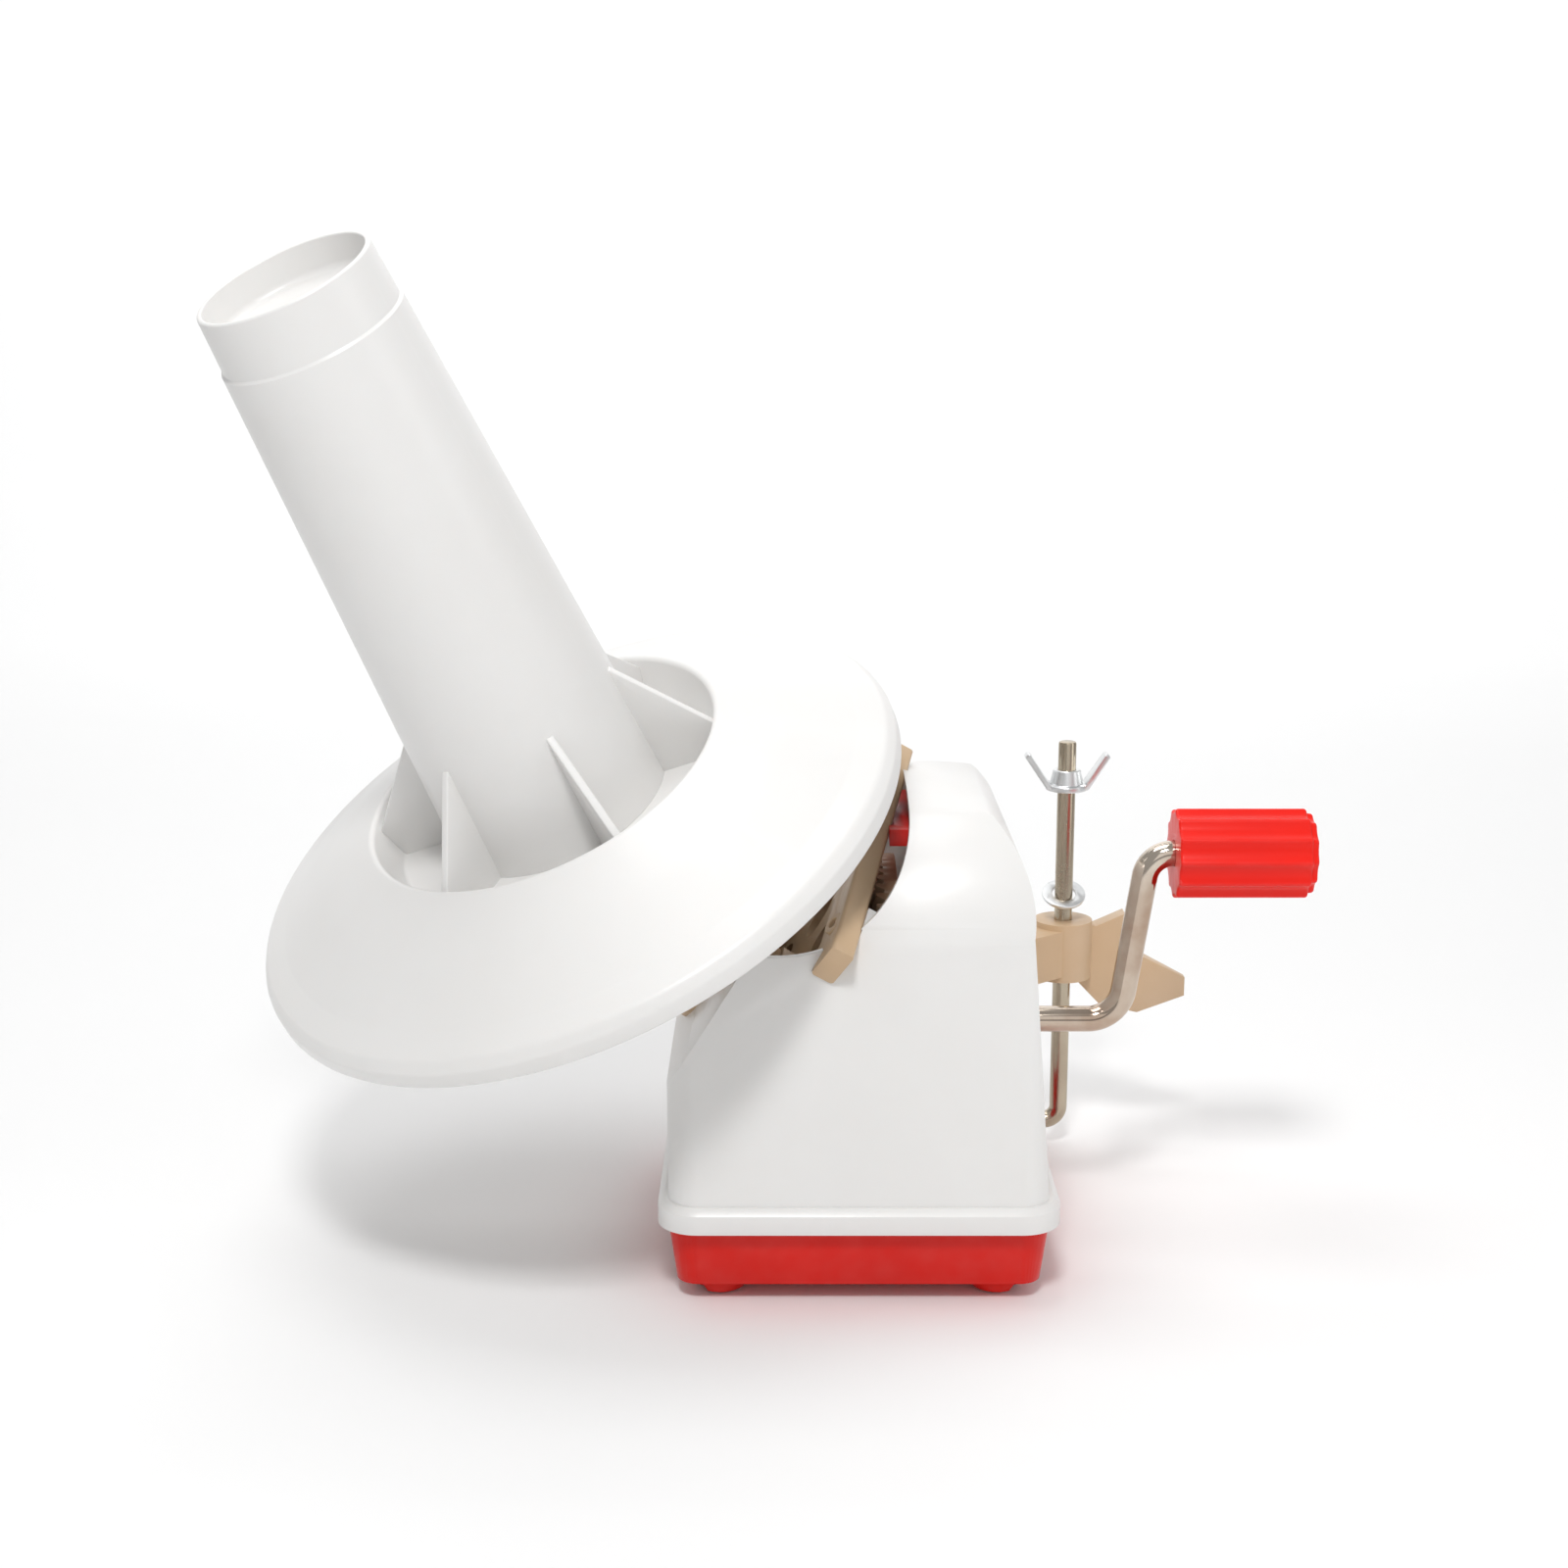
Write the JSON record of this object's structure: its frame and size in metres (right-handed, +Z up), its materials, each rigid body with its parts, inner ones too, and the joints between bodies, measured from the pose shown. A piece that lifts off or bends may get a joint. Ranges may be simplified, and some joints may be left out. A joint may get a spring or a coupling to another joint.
{
  "type": "yarn ball winder",
  "caption": "Hand-cranked yarn ball winder: leaning flanged bobbin on a scooped gear housing, side crank with fluted grip, and a table clamp rod.",
  "frame": {"origin": "centre of the base's underside, with the feet reaching 5.5 mm below it", "axes": "+Z up, +X towards the crank and clamp, -X towards the leaning bobbin, -Y towards the viewer of the picture"},
  "size_m": [0.321, 0.1948, 0.3053],
  "materials": {
    "white_plastic": "moulded, slightly warm white",
    "red_plastic": "moulded, saturated red",
    "tan_plastic": "moulded, satin tan",
    "chrome": "plated rod",
    "nickel_steel": "drawn rod, pale champagne plating",
    "zinc_steel": "zinc plated",
    "bearing_bronze": "sintered bushing"
  },
  "bodies": {
    "frame": {"base_shell": "red_plastic", "housing_shell": "white_plastic", "chassis": "red_plastic", "gear_guard_bar": "tan_plastic", "rotor_bearing": "tan_plastic", "rotor_bushing": "bearing_bronze", "sun_gear": "tan_plastic", "crank_bushing_inner": "bearing_bronze", "crank_bushing_outer": "bearing_bronze", "clamp_bracket": "tan_plastic", "base_screws": "zinc_steel", "chassis_screws": "zinc_steel", "bearing_screws": "zinc_steel", "bracket_screws": "zinc_steel", "bar_pin": "zinc_steel"},
    "rotor": {"rotor_shaft": "nickel_steel", "rotor_gear": "tan_plastic", "rotor_gear_grub": "zinc_steel", "shaft_ring": "zinc_steel", "rotor_elbow": "nickel_steel", "bobbin_spindle": "nickel_steel", "thrust_washer": "bearing_bronze", "spindle_nut": "zinc_steel"},
    "bobbin": {"bobbin_flange": "white_plastic", "bobbin_tower": "white_plastic", "bobbin_gear": "tan_plastic", "bobbin_screws": "zinc_steel"},
    "crank": {"crank_rod": "chrome", "crank_gear": "tan_plastic", "crank_gear_grub": "zinc_steel", "crank_collar": "zinc_steel"},
    "grip": {"handle_grip": "red_plastic"},
    "clamp_rod_body": {"clamp_rod": "nickel_steel"},
    "washer": {"clamp_washer": "zinc_steel"},
    "nut": {"wing_nut": "zinc_steel"}
  },
  "joints": [
    {"name": "rotor_spin", "type": "hinge", "parent": "frame", "child": "rotor", "pos_m": [-0.078, 0, 0.1065], "axis": [-0.848, 0, 0.5299], "continuous": true},
    {"name": "bobbin_spin", "type": "hinge", "parent": "rotor", "child": "bobbin", "pos_m": [-0.078, 0, 0.1065], "axis": [-0.3546, -0.3489, 0.8675], "continuous": true},
    {"name": "crank_spin", "type": "hinge", "parent": "frame", "child": "crank", "pos_m": [0, 0, 0.063], "axis": [1, 0, 0], "continuous": true},
    {"name": "grip_spin", "type": "hinge", "parent": "crank", "child": "grip", "pos_m": [0.118, 0, 0.116], "axis": [1, 0, 0], "continuous": true},
    {"name": "clamp_slide", "type": "slide", "parent": "frame", "child": "clamp_rod_body", "axis": [0, 0, 1], "range_m": [-0.032, 0.036]},
    {"name": "washer_slide", "type": "slide", "parent": "frame", "child": "washer", "axis": [0, 0, 1], "range_m": [-0.0046, 0.032]},
    {"name": "wing_nut_spin", "type": "hinge", "parent": "clamp_rod_body", "child": "nut", "pos_m": [0.073, 0.07, 0.122], "axis": [0, 0, 1], "continuous": true}
  ],
  "couplings": [
    {"joint": "crank_spin", "follows": "rotor_spin", "ratio": -1},
    {"joint": "bobbin_spin", "follows": "rotor_spin", "ratio": -1.1667}
  ]
}
